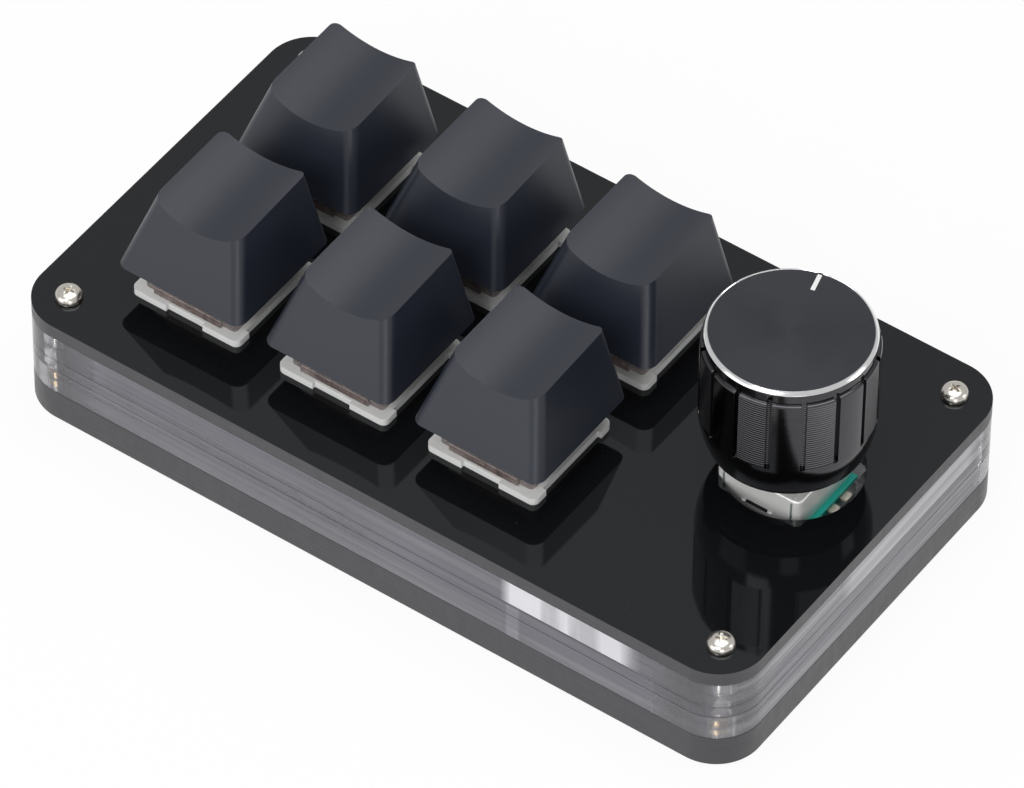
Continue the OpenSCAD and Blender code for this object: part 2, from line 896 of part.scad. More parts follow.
// Band pressed outwards under the slot in the cover, on the side given by its sign
module lance(s) {
    rotate([90, 0, 90])
        linear_extrude(slot_w + 2 * lance_end, center = true)
            polygon([[-s * eps, 0], [s * lance_out, 0], [s * lance_out, -lance_h / 3], [-s * eps, -lance_h]]);
}

// The sheet cover: a skirt on the pin sides, full flaps with lugs at front and back
module encoder_bracket() {
    color("#cfd2d4")
        difference() {
            union() {
                at_knob(cover_z - skirt_h)
                    linear_extrude(skirt_h)
                        cover_outline(0);
                for (s = [-1, 1])
                    at_knob(board_top)
                        translate([0, s * (encoder_d - sheet_t) / 2]) {
                            block([2 * slit_x - slit_w, sheet_t, encoder_h]);
                            translate([0, 0, -lug_l])
                                block([lug_w, sheet_t, lug_l + eps]);
                        }
                for (s = [-1, 1])
                    at_knob(cover_z - slot_drop)
                        translate([0, s * encoder_d / 2])
                            lance(s);
            }
            at_knob(cover_z - skirt_h - eps)
                linear_extrude(skirt_h - sheet_t + eps)
                    cover_outline(sheet_t);
            at_knob(cover_z - slot_drop)
                block([slot_w, 2 * encoder_d, slot_h]);
            for (sx = [-1, 1], sy = [-1, 1])
                at_knob(cover_z - skirt_h - eps)
                    translate([sx * slit_x, sy * (encoder_d - sheet_t) / 2])
                        block([slit_w, sheet_t + 2 * eps, skirt_h - slit_drop + eps]);
            at_knob(cover_z - skirt_h)
                cylinder(d = bushing_d, h = skirt_h + eps, $fn = smooth);
        }
}

module encoder_bushing() {
    color("#b8bbbf")
        at_knob(cover_z)
            difference() {
                union() {
                    cylinder(d = bushing_d, h = bushing_h, $fn = smooth);
                    translate([0, 0, -sheet_t])
                        cylinder(d = bushing_d, h = sheet_t + eps, $fn = smooth);
                    translate([0, 0, -sheet_t - bushing_flange_h])
                        cylinder(d = bushing_flange_d, h = bushing_flange_h, $fn = smooth);
                }
                translate([0, 0, -sheet_t - bushing_flange_h - eps])
                    cylinder(d = bore_d, h = bushing_h + sheet_t + bushing_flange_h + 2 * eps, $fn = smooth);
            }
}

// Round bar with two flats, which turns the rotor and slides in it
module keyed_bar(grow, h) {
    intersection() {
        cylinder(d = key_shaft_d + 2 * grow, h = h, $fn = smooth);
        block([2 * key_shaft_d, key_shaft_flat + 2 * grow, h]);
    }
}

module encoder_rotor() {
    color("#e9e4d2")
        at_knob(rotor_z)
            difference() {
                cylinder(d = rotor_d, h = rotor_t, $fn = smooth);
                translate([0, 0, -eps])
                    keyed_bar(key_gap, rotor_t + 2 * eps);
            }
}

module encoder_dome() {
    color("#d2d4d6")
        at_knob(dome_z) {
            cylinder(d = dome_d, h = dome_h / 2, $fn = smooth);
            cylinder(d = dome_d / 2, h = dome_h, $fn = smooth);
        }
}

// Pins that bend out of the base and down through the board
module encoder_pins() {
    arm_l = pin_out + sheet_t + encoder_pin_t / 2;
    color("#c9b98f")
        at_knob(board_top)
            for (p = encoder_pin_places()) {
                translate([p[0], p[1], -lug_l])
                    block([encoder_pin_t, encoder_pin_w, lug_l + pin_rise]);
                translate([p[0] + p[2] * (encoder_pin_t - arm_l) / 2, p[1], pin_rise - encoder_pin_t])
                    block([arm_l, encoder_arm_w, encoder_pin_t]);
            }
}

module encoder_shaft() {
    color("#aeb1b5")
        at_knob(0) {
            difference() {
                translate([0, 0, shaft_step_z])
                    cylinder(d = shaft_d, h = shaft_top_z - shaft_step_z, $fn = smooth);
                translate([0, shaft_d - shaft_flat, shaft_top_z - flat_l])
                    block([2 * shaft_d, shaft_d, flat_l + eps]);
            }
            translate([0, 0, shaft_foot_z])
                keyed_bar(0, shaft_step_z - shaft_foot_z + eps);
        }
}

module knob_insert() {
    color("#1d1d1f")
        at_knob(0)
            difference() {
                translate([0, 0, core_z])
                    cylinder(d = core_d, h = core_top_z - core_z, $fn = smooth);
                translate([0, 0, core_z - eps])
                    cylinder(d = core_clear_d, h = core_bore_z - core_z + eps, $fn = smooth);
                difference() {
                    translate([0, 0, core_z])
                        cylinder(d = shaft_d + 2 * core_gap, h = shaft_top_z + run_out - core_z, $fn = smooth);
                    translate([0, shaft_d - shaft_flat + core_gap, core_bore_z + core_step])
                        block([2 * shaft_d, shaft_d, shaft_h]);
                }
            }
}

// Half section of the knob, from its foot to its top
module knob_section() {
    collar_turn = collar_h * 0.55;
    polygon([
        [core_d / 2, 0], [foot_d / 2 - rim_in, 0], [foot_d / 2, rim_in],
        [grip_d / 2 - rim_in / 2, collar_turn], [grip_d / 2, collar_h],
        [grip_d / 2, grip_top - rim_in / 2], [grip_d / 2 - rim_in / 2, grip_top],
        [neck_d / 2, grip_top], [neck_d / 2, knob_h - chamfer_h], [face_d / 2, knob_h],
        [0, knob_h], [0, knob_h - knob_roof], [core_d / 2, knob_h - knob_roof]
    ]);
}

module knob_shell() {
    color("#26272b")
        at_knob(knob_z)
            difference() {
                rotate_extrude($fn = smooth)
                    knob_section();
                for (i = [0 : groove_count - 1])
                    rotate(groove_turn + 360 * i / groove_count)
                        translate([grip_d / 2 - groove_depth, -groove_w / 2, collar_h + rim_in / 2])
                            cube([2 * groove_depth, groove_w, knob_h]);
                rotate(pointer_turn)
                    translate([face_d / 2 - pointer_l, -pointer_w / 2, knob_h - pointer_depth])
                        cube([pointer_l - rim_in / 4, pointer_w, 2 * pointer_depth]);
            }
}

top_plate();
upper_frame();
middle_frame();
lower_frame();
bottom_plate();
case_screws();
threaded_inserts();
circuit_board();
controller_chip();
board_parts();
usb_shell();
usb_tongue();
for (i = keys) {
    at_key(i) switch_base();
    at_key(i) switch_top();
    at_key(i) stem();
    at_key(i) spring();
    at_key(i) keycap();
}
switch_contacts();
encoder_base();
encoder_bracket();
encoder_bushing();
encoder_rotor();
encoder_dome();
encoder_pins();
encoder_shaft();
knob_insert();
knob_shell();
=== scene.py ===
# Looks for the macro keypad: six keys and one push knob in a stack of black and clear sheets.
# Metres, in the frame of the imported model: +X to the knob's end, +Y to the back, +Z up.
import math

import bpy
from mathutils import Matrix, Vector


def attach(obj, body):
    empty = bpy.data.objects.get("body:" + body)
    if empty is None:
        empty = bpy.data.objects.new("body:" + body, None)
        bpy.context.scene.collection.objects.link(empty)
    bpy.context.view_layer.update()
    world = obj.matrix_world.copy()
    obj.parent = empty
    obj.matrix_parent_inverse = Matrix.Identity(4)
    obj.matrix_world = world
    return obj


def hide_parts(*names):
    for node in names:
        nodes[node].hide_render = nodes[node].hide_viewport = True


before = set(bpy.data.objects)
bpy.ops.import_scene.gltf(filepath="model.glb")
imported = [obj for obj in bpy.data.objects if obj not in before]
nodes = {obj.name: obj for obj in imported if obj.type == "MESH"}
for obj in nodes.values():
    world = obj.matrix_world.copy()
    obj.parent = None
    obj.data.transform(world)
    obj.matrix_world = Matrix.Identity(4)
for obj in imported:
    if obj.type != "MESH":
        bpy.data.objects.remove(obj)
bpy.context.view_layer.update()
mm = 0.001
plateTop = 15.9  # height of the top plate's upper face
keySpots = [(-33.7, 11.1), (-12.1, 11.1), (9.5, 11.1), (-33.7, -11.5), (-12.1, -11.5), (9.5, -11.5)]
knobSpot = (37.4, 3.3)
holeSpot = (38.1, 3.8)


# camera, floor and lights

view = {
    "azimuth": 34.98, "elevation": 47.06, "distance": 1154.7, "roll": 0.65,
    "target": (-3.74, 5.90, 0.0), "focalPixels": 9595.0, "imageWidth": 1024.0,
    "worldGlow": 0.62, "worldLight": 0.3, "floorGlow": 0.92,
}


def makeCamera():
    a, e = math.radians(view["azimuth"]), math.radians(view["elevation"])
    back = Vector((math.sin(a) * math.cos(e), -math.cos(a) * math.cos(e), math.sin(e)))
    side = Vector((0, 0, 1)).cross(back).normalized()
    up = back.cross(side)
    r = math.radians(view["roll"])
    side, up = side * math.cos(r) + up * math.sin(r), up * math.cos(r) - side * math.sin(r)
    bpy.ops.object.camera_add()
    cam = bpy.context.object
    cam.name = "photoCamera"
    cam.data.sensor_width = 36
    cam.data.lens = view["focalPixels"] * 36 / view["imageWidth"]
    place = (Vector(view["target"]) + back * view["distance"]) * mm
    rows = [(side[row], up[row], back[row], place[row]) for row in range(3)]
    cam.matrix_world = Matrix(rows + [(0, 0, 0, 1)])
    cam.data.clip_start, cam.data.clip_end = 0.01, 20
    bpy.context.scene.camera = cam


lamps = [
    # name, place, size, watts
    ("topLamp", (0.0, 0.08, 1.0), 0.8, 6.0),
    ("frontLamp", (-0.42, -0.86, 0.28), 0.6, 1.8),
    ("cornerLamp", (0.62, -0.66, 0.22), 0.32, 0.9),
    ("hoodLamp", (0.1, -0.8, 0.72), 0.4, 4.0),
    ("sideLamp", (0.85, 0.42, 0.34), 0.3, 1.0),
]


def makeLamps():
    for name, place, size, watts in lamps:
        bpy.ops.object.light_add(type="AREA", location=place)
        lamp = bpy.context.object
        lamp.name = name
        lamp.data.size, lamp.data.energy = size, watts
        aim = Vector((0, 0, 0.01)) - Vector(place)
        lamp.rotation_euler = aim.to_track_quat("-Z", "Y").to_euler()


# materials: sockets as numbers

class Wire:
    def __init__(self, look, socket):
        self.look, self.socket = look, socket

    def maths(self, operation, *others):
        return self.look.node("ShaderNodeMath", {"operation": operation}, list((self,) + others))

    def __add__(self, other):
        return self.maths("ADD", other)

    def __radd__(self, other):
        return self.maths("ADD", other)

    def __sub__(self, other):
        return self.maths("SUBTRACT", other)

    def __rsub__(self, other):
        return self.look.node("ShaderNodeMath", {"operation": "SUBTRACT"}, [other, self])

    def __mul__(self, other):
        return self.maths("MULTIPLY", other)

    def __rmul__(self, other):
        return self.maths("MULTIPLY", other)

    def __truediv__(self, other):
        return self.maths("DIVIDE", other)

    def __gt__(self, other):
        return self.maths("GREATER_THAN", other)

    def __lt__(self, other):
        return self.maths("LESS_THAN", other)


class Look:
    def __init__(self, name, **fixed):
        self.material = bpy.data.materials.new(name)
        self.material.use_nodes = True
        self.tree = self.material.node_tree
        self.shader = self.tree.nodes["Principled BSDF"]
        self.base = Wire(self, self.shader.outputs[0])
        for key, value in fixed.items():
            self.shader.inputs[socketNames[key]].default_value = value

    def node(self, kind, settings=None, inputs=None, out=0):
        made = self.tree.nodes.new(kind)
        for key, value in (settings or {}).items():
            setattr(made, key, value)
        pairs = inputs.items() if isinstance(inputs, dict) else enumerate(inputs or [])
        for key, value in pairs:
            if isinstance(value, Wire):
                self.tree.links.new(value.socket, made.inputs[key])
            elif value is not None:
                made.inputs[key].default_value = value
        return Wire(self, made.outputs[out])

    def place(self):
        return self.node("ShaderNodeTexCoord", out="Object")

    def axis(self, which):
        return self.node("ShaderNodeSeparateXYZ", {}, [self.place()], which)

    def noise(self, scale, detail=2, stretch=(1, 1, 1), roughness=0.5):
        at = self.node("ShaderNodeMapping", {}, {"Vector": self.place(), "Scale": stretch})
        values = {"Vector": at, "Scale": scale, "Detail": detail, "Roughness": roughness}
        return self.node("ShaderNodeTexNoise", {}, values)

    def ramp(self, wire, low, high):
        values = {"Value": wire, "From Min": low, "From Max": high}
        return self.node("ShaderNodeMapRange", {"clamp": True}, values)

    def mix(self, factor, first, second):
        made = self.tree.nodes.new("ShaderNodeMix")
        made.data_type = "RGBA"
        for socket, value in ((made.inputs[0], factor), (made.inputs[6], first), (made.inputs[7], second)):
            if isinstance(value, Wire):
                self.tree.links.new(value.socket, socket)
            else:
                socket.default_value = value if isinstance(value, (int, float)) else (*value, 1)
        return Wire(self, made.outputs[2])

    def bump(self, height, strength=0.3, distance=0.0001):
        values = {"Strength": strength, "Distance": distance, "Height": height}
        return self.feed("Normal", self.node("ShaderNodeBump", {}, values))

    def feed(self, socket, wire):
        self.tree.links.new(wire.socket, self.shader.inputs[socket])
        return self

    def surface(self, factor, other):
        # another shader takes the factor's share of the surface
        blend = self.node("ShaderNodeMixShader", {}, [factor, self.base, other])
        self.tree.links.new(blend.socket, self.tree.nodes["Material Output"].inputs["Surface"])
        return self


socketNames = {
    "roughness": "Roughness", "metallic": "Metallic", "ior": "IOR", "clear": "Transmission Weight",
    "specular": "Specular IOR Level", "specularTint": "Specular Tint",
    "under": "Subsurface Weight", "underReach": "Subsurface Radius", "underScale": "Subsurface Scale",
}


def polishedBlack():
    look = Look("polishedBlack", specular=0.42, specularTint=(0.93, 0.96, 1.0, 1))
    dust = look.ramp(look.noise(2600, 2), 0.7, 0.78)
    haze = look.noise(38, 3)
    look.feed("Base Color", look.mix(dust * 0.2, (0.0045, 0.0048, 0.0055), (0.05, 0.05, 0.055)))
    look.feed("Roughness", haze * 0.03 + 0.03 + dust * 0.12)
    return look.material


def sawnBlack():
    look = Look("sawnBlack", specular=0.6)
    lines = look.noise(70, 3, (1, 1, 36), 0.7)
    grain = look.noise(900, 2, (1, 1, 0.4))
    look.feed("Base Color", look.mix(lines, (0.018, 0.018, 0.021), (0.05, 0.05, 0.056)))
    look.feed("Roughness", grain * 0.2 + 0.32)
    return look.bump(lines * 0.8 + grain * 0.2, 0.35, 0.00012).material


def clearSheet(name, tint):
    look = Look(name, clear=1.0, ior=1.49)
    look.feed("Base Color", look.mix(look.noise(60, 2), tint, tuple(c * 0.97 for c in tint)))
    look.feed("Roughness", look.noise(160, 2) * 0.03)
    return look.material


# painted light on the cut faces of the clear sheets: the colour of the painted glow, and where it is painted as a
# bright strip on the front, lighter patches on the right end face and towards the right end, a glow in the corners
# and a lighter bar at the rib
clearEdge = {
    "haze": 0.5, "hazeRoughness": 0.34, "hazeColour": (0.155, 0.148, 0.18), "hazeLight": (0.26, 0.26, 0.285),
    "glow": (0.8, 0.8, 0.83), "cornerGlow": 0.16,
    # millimetres
    "front": -28.0, "side": 51.0, "glowLow": 10.3, "glowSpan": (19.5, 21.0, 36.5, 39.5),
    "sideLightSpan": (-6.5, -4.5, 20.0, 22.0), "rightLightFade": (47.0, 51.5), "cornerLong": (39.5, 44.5),
    "cornerWide": (19.5, 24.5), "barTop": 10.1, "barSpan": (20.2, 20.6, 22.0, 22.4),
}


def clearCut(name, tint):
    # cut faces of the clear sheets: part clear, part hazy, with streaks along the sheet and saw marks across it, and
    # with painted light at fixed places: a bright strip on the front, lighter patches on the right end, a glow in the
    # corners and a lighter bar at the rib
    look = Look(name, clear=1.0, ior=1.49)
    saw = look.noise(420, 3, (1, 1, 0.06), 0.65)
    streak = look.noise(38, 3, (0.6, 0.6, 26), 0.6)
    cloud = look.noise(46, 3)
    x, y, z = (look.axis(i) for i in range(3))

    def fade(wire, low, high):
        return look.ramp(wire, low * mm, high * mm)

    def patch(wire, key):
        low, rise, fall, high = clearEdge[key]
        return fade(wire, low, rise) * fade(wire, high, fall)

    look.feed("Base Color", look.mix(saw, tint, tuple(c * 0.92 for c in tint)))
    look.feed("Roughness", saw * 0.2 + 0.02)
    look.bump(saw, 0.25, 0.00015)
    atFront, upper = y < clearEdge["front"] * mm, z > clearEdge["glowLow"] * mm
    corner = fade(x.maths("ABSOLUTE"), *clearEdge["cornerLong"]) * fade(y.maths("ABSOLUTE"), *clearEdge["cornerWide"])
    # painted light: a bright strip on the front, broken into patches by noise, a lighter patch on the right end face,
    # a lighter fade towards the right end, and a glow in the corners
    glowBreakup = 1 - look.ramp(look.noise(230, 3, (1, 1, 0.1)), 0.52, 0.62) * 0.35
    front = atFront * upper * patch(x, "glowSpan") * glowBreakup
    side = (x > clearEdge["side"] * mm) * upper * patch(y, "sideLightSpan")
    right = fade(x, *clearEdge["rightLightFade"]) * look.ramp(streak, 0.3, 0.6) * (upper * 0.1 + 0.2)
    glow = front * 0.8 + side * 0.25 + right + corner * clearEdge["cornerGlow"]
    # painted light: a lighter, hazier bar on the front of the lower sheet at the rib
    barLight = atFront * (z < clearEdge["barTop"] * mm) * patch(x, "barSpan")
    smoke = look.mix(look.ramp(streak, 0.35, 0.7), clearEdge["hazeColour"], clearEdge["hazeLight"])
    # the painted glow colour is mixed into the haze, and the painted parts take a larger share of haze
    tone = look.mix(glow, smoke, clearEdge["glow"])
    haze = look.node("ShaderNodeBsdfPrincipled", {}, {"Base Color": tone, "Roughness": clearEdge["hazeRoughness"]})
    share = look.ramp(cloud, 0.3, 0.7) * 0.16 + clearEdge["haze"] - corner * 0.38 + glow * 0.4 + barLight * 0.3
    return look.surface(share, haze).material


def capPlastic():
    look = Look("capPlastic", specular=0.5)
    grain = look.noise(5200, 2)
    cloud = look.noise(90, 3)
    look.feed("Base Color", look.mix(cloud, (0.0125, 0.0155, 0.025), (0.015, 0.0185, 0.029)))
    look.feed("Roughness", grain * 0.1 + 0.33)
    return look.bump(grain, 0.12, 0.00004).material


def milkyPlastic():
    look = Look("milkyPlastic", specular=0.5, under=0.25, underReach=(1.0, 0.95, 0.9), underScale=0.0012)
    flow = look.noise(140, 3)
    look.feed("Base Color", look.mix(flow, (0.97, 0.97, 0.95), (0.9, 0.9, 0.88)))
    look.feed("Roughness", flow * 0.15 + 0.28)
    return look.bump(look.noise(2400, 2), 0.06, 0.00003).material


def smokedHousing():
    look = Look("smokedHousing", clear=0.85, ior=1.5)
    flow = look.noise(260, 2)
    look.feed("Base Color", look.mix(flow, (0.9, 0.84, 0.82), (0.8, 0.72, 0.69)))
    look.feed("Roughness", flow * 0.1 + 0.06)
    return look.bump(flow, 0.08, 0.00008).material


def housingWindow():
    # the clear front of a switch, with the streaks of what lies behind it painted into its colour: dark streaks as
    # painted shade, lighter streaks and spots as painted light from the parts behind
    look = Look("housingWindow", clear=0.4, ior=1.5)
    paintedStreaks = look.noise(520, 4, (1, 1, 0.1), 0.7)
    spots = look.noise(700, 2, (1, 1, 2.5))
    shade = look.mix(look.ramp(paintedStreaks, 0.3, 0.7), (0.13, 0.1, 0.1), (0.36, 0.29, 0.27))
    look.feed("Base Color", look.mix(look.ramp(spots, 0.6, 0.8), shade, (0.5, 0.42, 0.37)))
    look.feed("Roughness", spots * 0.15 + 0.05)
    return look.material


def mouldedPlastic(name, first, second, roughness=0.4, scale=300):
    look = Look(name, specular=0.5)
    flow = look.noise(scale, 3)
    look.feed("Base Color", look.mix(flow, first, second))
    look.feed("Roughness", flow * 0.16 + roughness - 0.08)
    return look.bump(look.noise(3000, 2), 0.08, 0.00003).material


def plainMetal(name, first, second, roughness=0.22, scale=500, stretch=(1, 1, 1), metal=1.0):
    look = Look(name, metallic=metal)
    flow = look.noise(scale, 3, stretch)
    look.feed("Base Color", look.mix(flow, first, second))
    look.feed("Roughness", flow * 0.16 + roughness - 0.08)
    return look.bump(flow, 0.06, 0.00004).material


knobCut = {"ringPitch": 0.16, "linePitch": 0.36, "grooves": 16, "turn": 20.5, "ribs": (26.5, 36.9)}


def aroundKnob(look):
    # across and along, from the knob's axis
    away = (-knobSpot[0] * mm, -knobSpot[1] * mm, 0)
    shift = look.node("ShaderNodeMapping", {}, {"Vector": look.place(), "Location": away})
    return [look.node("ShaderNodeSeparateXYZ", {}, [shift], i) for i in (0, 1)]


def anodisedGrip():
    look = Look("anodisedGrip", metallic=1.0)
    across, along = aroundKnob(look)
    turn = along.maths("ARCTAN2", across) / (2 * math.pi) - knobCut["turn"] / 360
    turn = turn * (knobCut["grooves"] / 2) + knobCut["grooves"]
    # the ribbed half of each panel, which also carries a painted highlight along its ribs
    ribbedSheenPanel = turn.maths("FRACT") > 0.5
    height = look.axis(2)
    foot, top = knobCut["ribs"]
    ribbedSheenPanel = ribbedSheenPanel * (height > foot * mm) * (height < top * mm)
    lines = (height * (2 * math.pi / (knobCut["linePitch"] * mm))).maths("SINE") * 0.5 + 0.5
    scratch = look.noise(500, 3, (0.2, 0.2, 9))
    plain = look.mix(scratch, (0.05, 0.05, 0.054), (0.075, 0.075, 0.08))
    # painted highlight: the ribs of the ribbed panels are painted lighter, standing in for the light they catch
    look.feed("Base Color", look.mix(ribbedSheenPanel * lines, plain, (0.16, 0.16, 0.168)))
    look.feed("Roughness", scratch * 0.06 + 0.11 + ribbedSheenPanel * 0.1)
    return look.bump(lines * ribbedSheenPanel + scratch * 0.12, 0.5, 0.00008).material


def turnedBlack():
    look = Look("turnedBlack", metallic=0.8)
    across, along = aroundKnob(look)
    reach = (across * across + along * along).maths("SQRT")
    rings = (reach * (2 * math.pi / (knobCut["ringPitch"] * mm))).maths("SINE") * 0.5 + 0.5
    wear = look.noise(220, 3)
    look.feed("Base Color", look.mix(wear, (0.034, 0.036, 0.042), (0.044, 0.046, 0.053)))
    look.feed("Roughness", wear * 0.1 + 0.3)
    return look.bump(rings, 0.25, 0.00002).material


def whitePaint():
    look = Look("whitePaint", specular=0.5)
    flow = look.noise(900, 3)
    look.feed("Base Color", look.mix(flow, (0.8, 0.8, 0.8), (0.7, 0.7, 0.69)))
    look.feed("Roughness", flow * 0.2 + 0.4)
    return look.material


def boardMask():
    look = Look("boardMask", specular=0.5)
    flow = look.noise(120, 3)
    weave = look.noise(1400, 2)
    look.feed("Base Color", look.mix(flow, (0.62, 0.64, 0.62), (0.5, 0.53, 0.52)))
    look.feed("Roughness", weave * 0.2 + 0.3)
    return look.bump(weave, 0.1, 0.00003).material


looks = {
    "polishedBlack": polishedBlack(), "sawnBlack": sawnBlack(),
    "clearSheet": clearSheet("clearSheet", (0.95, 0.95, 0.97)), "clearCut": clearCut("clearCut", (0.93, 0.93, 0.96)),
    "capPlastic": capPlastic(), "milkyPlastic": milkyPlastic(), "smokedHousing": smokedHousing(),
    "housingWindow": housingWindow(), "anodisedGrip": anodisedGrip(), "turnedBlack": turnedBlack(),
    "whitePaint": whitePaint(), "boardMask": boardMask(),
    "brightCut": plainMetal("brightCut", (0.86, 0.86, 0.87), (0.78, 0.78, 0.79), 0.16, 700),
    "nickelPlate": plainMetal("nickelPlate", (0.72, 0.69, 0.64), (0.6, 0.57, 0.52), 0.24, 900),
    "brassInsert": plainMetal("brassInsert", (0.78, 0.57, 0.28), (0.62, 0.43, 0.19), 0.28, 600),
    "coverSteel": plainMetal("coverSteel", (0.98, 0.98, 0.96), (0.92, 0.92, 0.9), 0.3, 260, (1, 1, 3), 0.3),
    "tinnedPin": plainMetal("tinnedPin", (0.86, 0.79, 0.68), (0.76, 0.69, 0.58), 0.34, 500, (1, 1, 1), 0.4),
    "socketSteel": plainMetal("socketSteel", (0.68, 0.69, 0.71), (0.58, 0.59, 0.61), 0.26, 400),
    "shaftMetal": plainMetal("shaftMetal", (0.7, 0.71, 0.72), (0.6, 0.61, 0.62), 0.26, 300, (0.3, 0.3, 6)),
    "springWire": plainMetal("springWire", (0.74, 0.75, 0.77), (0.62, 0.63, 0.65), 0.25, 900),
    "contactCopper": plainMetal("contactCopper", (0.74, 0.45, 0.27), (0.6, 0.35, 0.2), 0.3, 700),
    "tealPlastic": mouldedPlastic("tealPlastic", (0.015, 0.6, 0.48), (0.01, 0.5, 0.4), 0.36),
    "corePlastic": mouldedPlastic("corePlastic", (0.02, 0.02, 0.022), (0.028, 0.028, 0.03), 0.42),
    "stemPlastic": mouldedPlastic("stemPlastic", (0.42, 0.022, 0.02), (0.34, 0.016, 0.015), 0.35),
    "rotorPlastic": mouldedPlastic("rotorPlastic", (0.72, 0.69, 0.58), (0.64, 0.6, 0.5), 0.4),
    "chipEpoxy": mouldedPlastic("chipEpoxy", (0.014, 0.014, 0.016), (0.022, 0.022, 0.024), 0.5),
    "chipCeramic": mouldedPlastic("chipCeramic", (0.3, 0.22, 0.15), (0.22, 0.16, 0.11), 0.45),
}
print("materials made:", len(looks))


# mesh tools: a primitive, shaped in edit mode, finished by modifiers

def deselectAll():
    if bpy.context.mode != "OBJECT":
        bpy.ops.object.mode_set(mode="OBJECT")
    bpy.ops.object.select_all(action="DESELECT")


def pick(obj):
    deselectAll()
    obj.select_set(True)
    bpy.context.view_layer.objects.active = obj


def settle(obj):
    pick(obj)
    bpy.ops.object.transform_apply(location=True, rotation=True, scale=True)
    return obj


def addBox(name, low, high):
    deselectAll()
    size = [h - l for l, h in zip(low, high)]
    middle = [(h + l) / 2 * mm for l, h in zip(low, high)]
    bpy.ops.mesh.primitive_cube_add(size=1, location=middle)
    box = bpy.context.object
    box.name, box.scale = name, [s * mm for s in size]
    return settle(box)


def boxAt(name, spot, halves, low, high):
    x, y = spot
    return addBox(name, (x - halves[0], y - halves[1], low), (x + halves[0], y + halves[1], high))


def addRod(name, spot, radius, low, high, sides=96, tip=None):
    deselectAll()
    bpy.ops.mesh.primitive_cone_add(
        vertices=sides, radius1=radius * mm, radius2=(radius if tip is None else tip) * mm,
        depth=(high - low) * mm, location=(spot[0] * mm, spot[1] * mm, (low + high) / 2 * mm))
    rod = bpy.context.object
    rod.name = name
    return settle(rod)


def turnTo(obj, spot, degrees):
    obj.rotation_euler = (0, 0, math.radians(degrees))
    obj.location = (spot[0] * mm, spot[1] * mm, 0)
    return settle(obj)


def startChoice(obj, kind):
    pick(obj)
    bpy.ops.object.mode_set(mode="EDIT")
    bpy.ops.mesh.select_mode(type=kind)
    bpy.ops.mesh.select_all(action="DESELECT")
    bpy.ops.object.mode_set(mode="OBJECT")


def chooseEdges(obj, test):
    # selects the edges whose two ends, in millimetres, pass the test
    startChoice(obj, "EDGE")
    mesh = obj.data
    for edge in mesh.edges:
        a, b = (mesh.vertices[i].co / mm for i in edge.vertices)
        edge.select = bool(test(a, b))
    bpy.ops.object.mode_set(mode="EDIT")


def chooseFaces(obj, test):
    # selects the faces whose centre, in millimetres, and normal pass the test
    startChoice(obj, "FACE")
    for face in obj.data.polygons:
        face.select = bool(test(face.center / mm, face.normal))
    bpy.ops.object.mode_set(mode="EDIT")


def isUpright(a, b):
    return abs(a.z - b.z) > 0.5


def roundEdges(obj, test, width, steps):
    chooseEdges(obj, test)
    bpy.ops.mesh.bevel(offset=width * mm, segments=steps, affect="EDGES", profile=0.5)
    bpy.ops.object.mode_set(mode="OBJECT")
    return obj


def cut(obj, tool, operation="DIFFERENCE"):
    pick(obj)
    modifier = obj.modifiers.new("cut", "BOOLEAN")
    modifier.operation, modifier.object, modifier.solver = operation, tool, "EXACT"
    bpy.ops.object.modifier_apply(modifier="cut")
    bpy.data.objects.remove(tool)
    return obj


def soften(obj, width, steps=2, angle=35):
    pick(obj)
    modifier = obj.modifiers.new("soften", "BEVEL")
    modifier.width, modifier.segments, modifier.angle_limit = width * mm, steps, math.radians(angle)
    modifier.limit_method, modifier.use_clamp_overlap = "ANGLE", True
    bpy.ops.object.modifier_apply(modifier="soften")
    return obj


def joinUp(parts):
    deselectAll()
    for part in parts:
        part.select_set(True)
    bpy.context.view_layer.objects.active = parts[0]
    bpy.ops.object.join()
    return parts[0]


def copyOf(obj, name):
    made = obj.copy()
    made.data = obj.data.copy()
    made.name = name
    bpy.context.collection.objects.link(made)
    return made


def smooth(obj, angle=30):
    # large faces keep their flat shading, and the small rounded edges take up the turn
    pick(obj)
    bpy.ops.object.shade_smooth_by_angle(angle=math.radians(angle))
    modifier = obj.modifiers.new("weigh", "WEIGHTED_NORMAL")
    modifier.keep_sharp, modifier.weight = True, 80
    bpy.ops.object.modifier_apply(modifier="weigh")
    return obj


def dress(obj, *names):
    obj.data.materials.clear()
    for name in names:
        obj.data.materials.append(looks[name])
    return obj


def paint(obj, index, test):
    chooseFaces(obj, test)
    obj.active_material_index = index
    bpy.ops.object.material_slot_assign()
    bpy.ops.object.mode_set(mode="OBJECT")
    return obj


def place(obj, body, slot, *replaced):
    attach(obj, body)
    if replaced:
        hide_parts(*replaced)
    return obj


def startPoint(name, point):
    deselectAll()
    bpy.ops.mesh.primitive_circle_add(vertices=3, radius=mm, location=[c * mm for c in point])
    made = bpy.context.object
    made.name = name
    settle(made)
    bpy.ops.object.mode_set(mode="EDIT")
    bpy.ops.mesh.select_mode(type="VERT")
    bpy.ops.mesh.select_all(action="SELECT")
    bpy.ops.mesh.merge(type="CENTER")
    return made


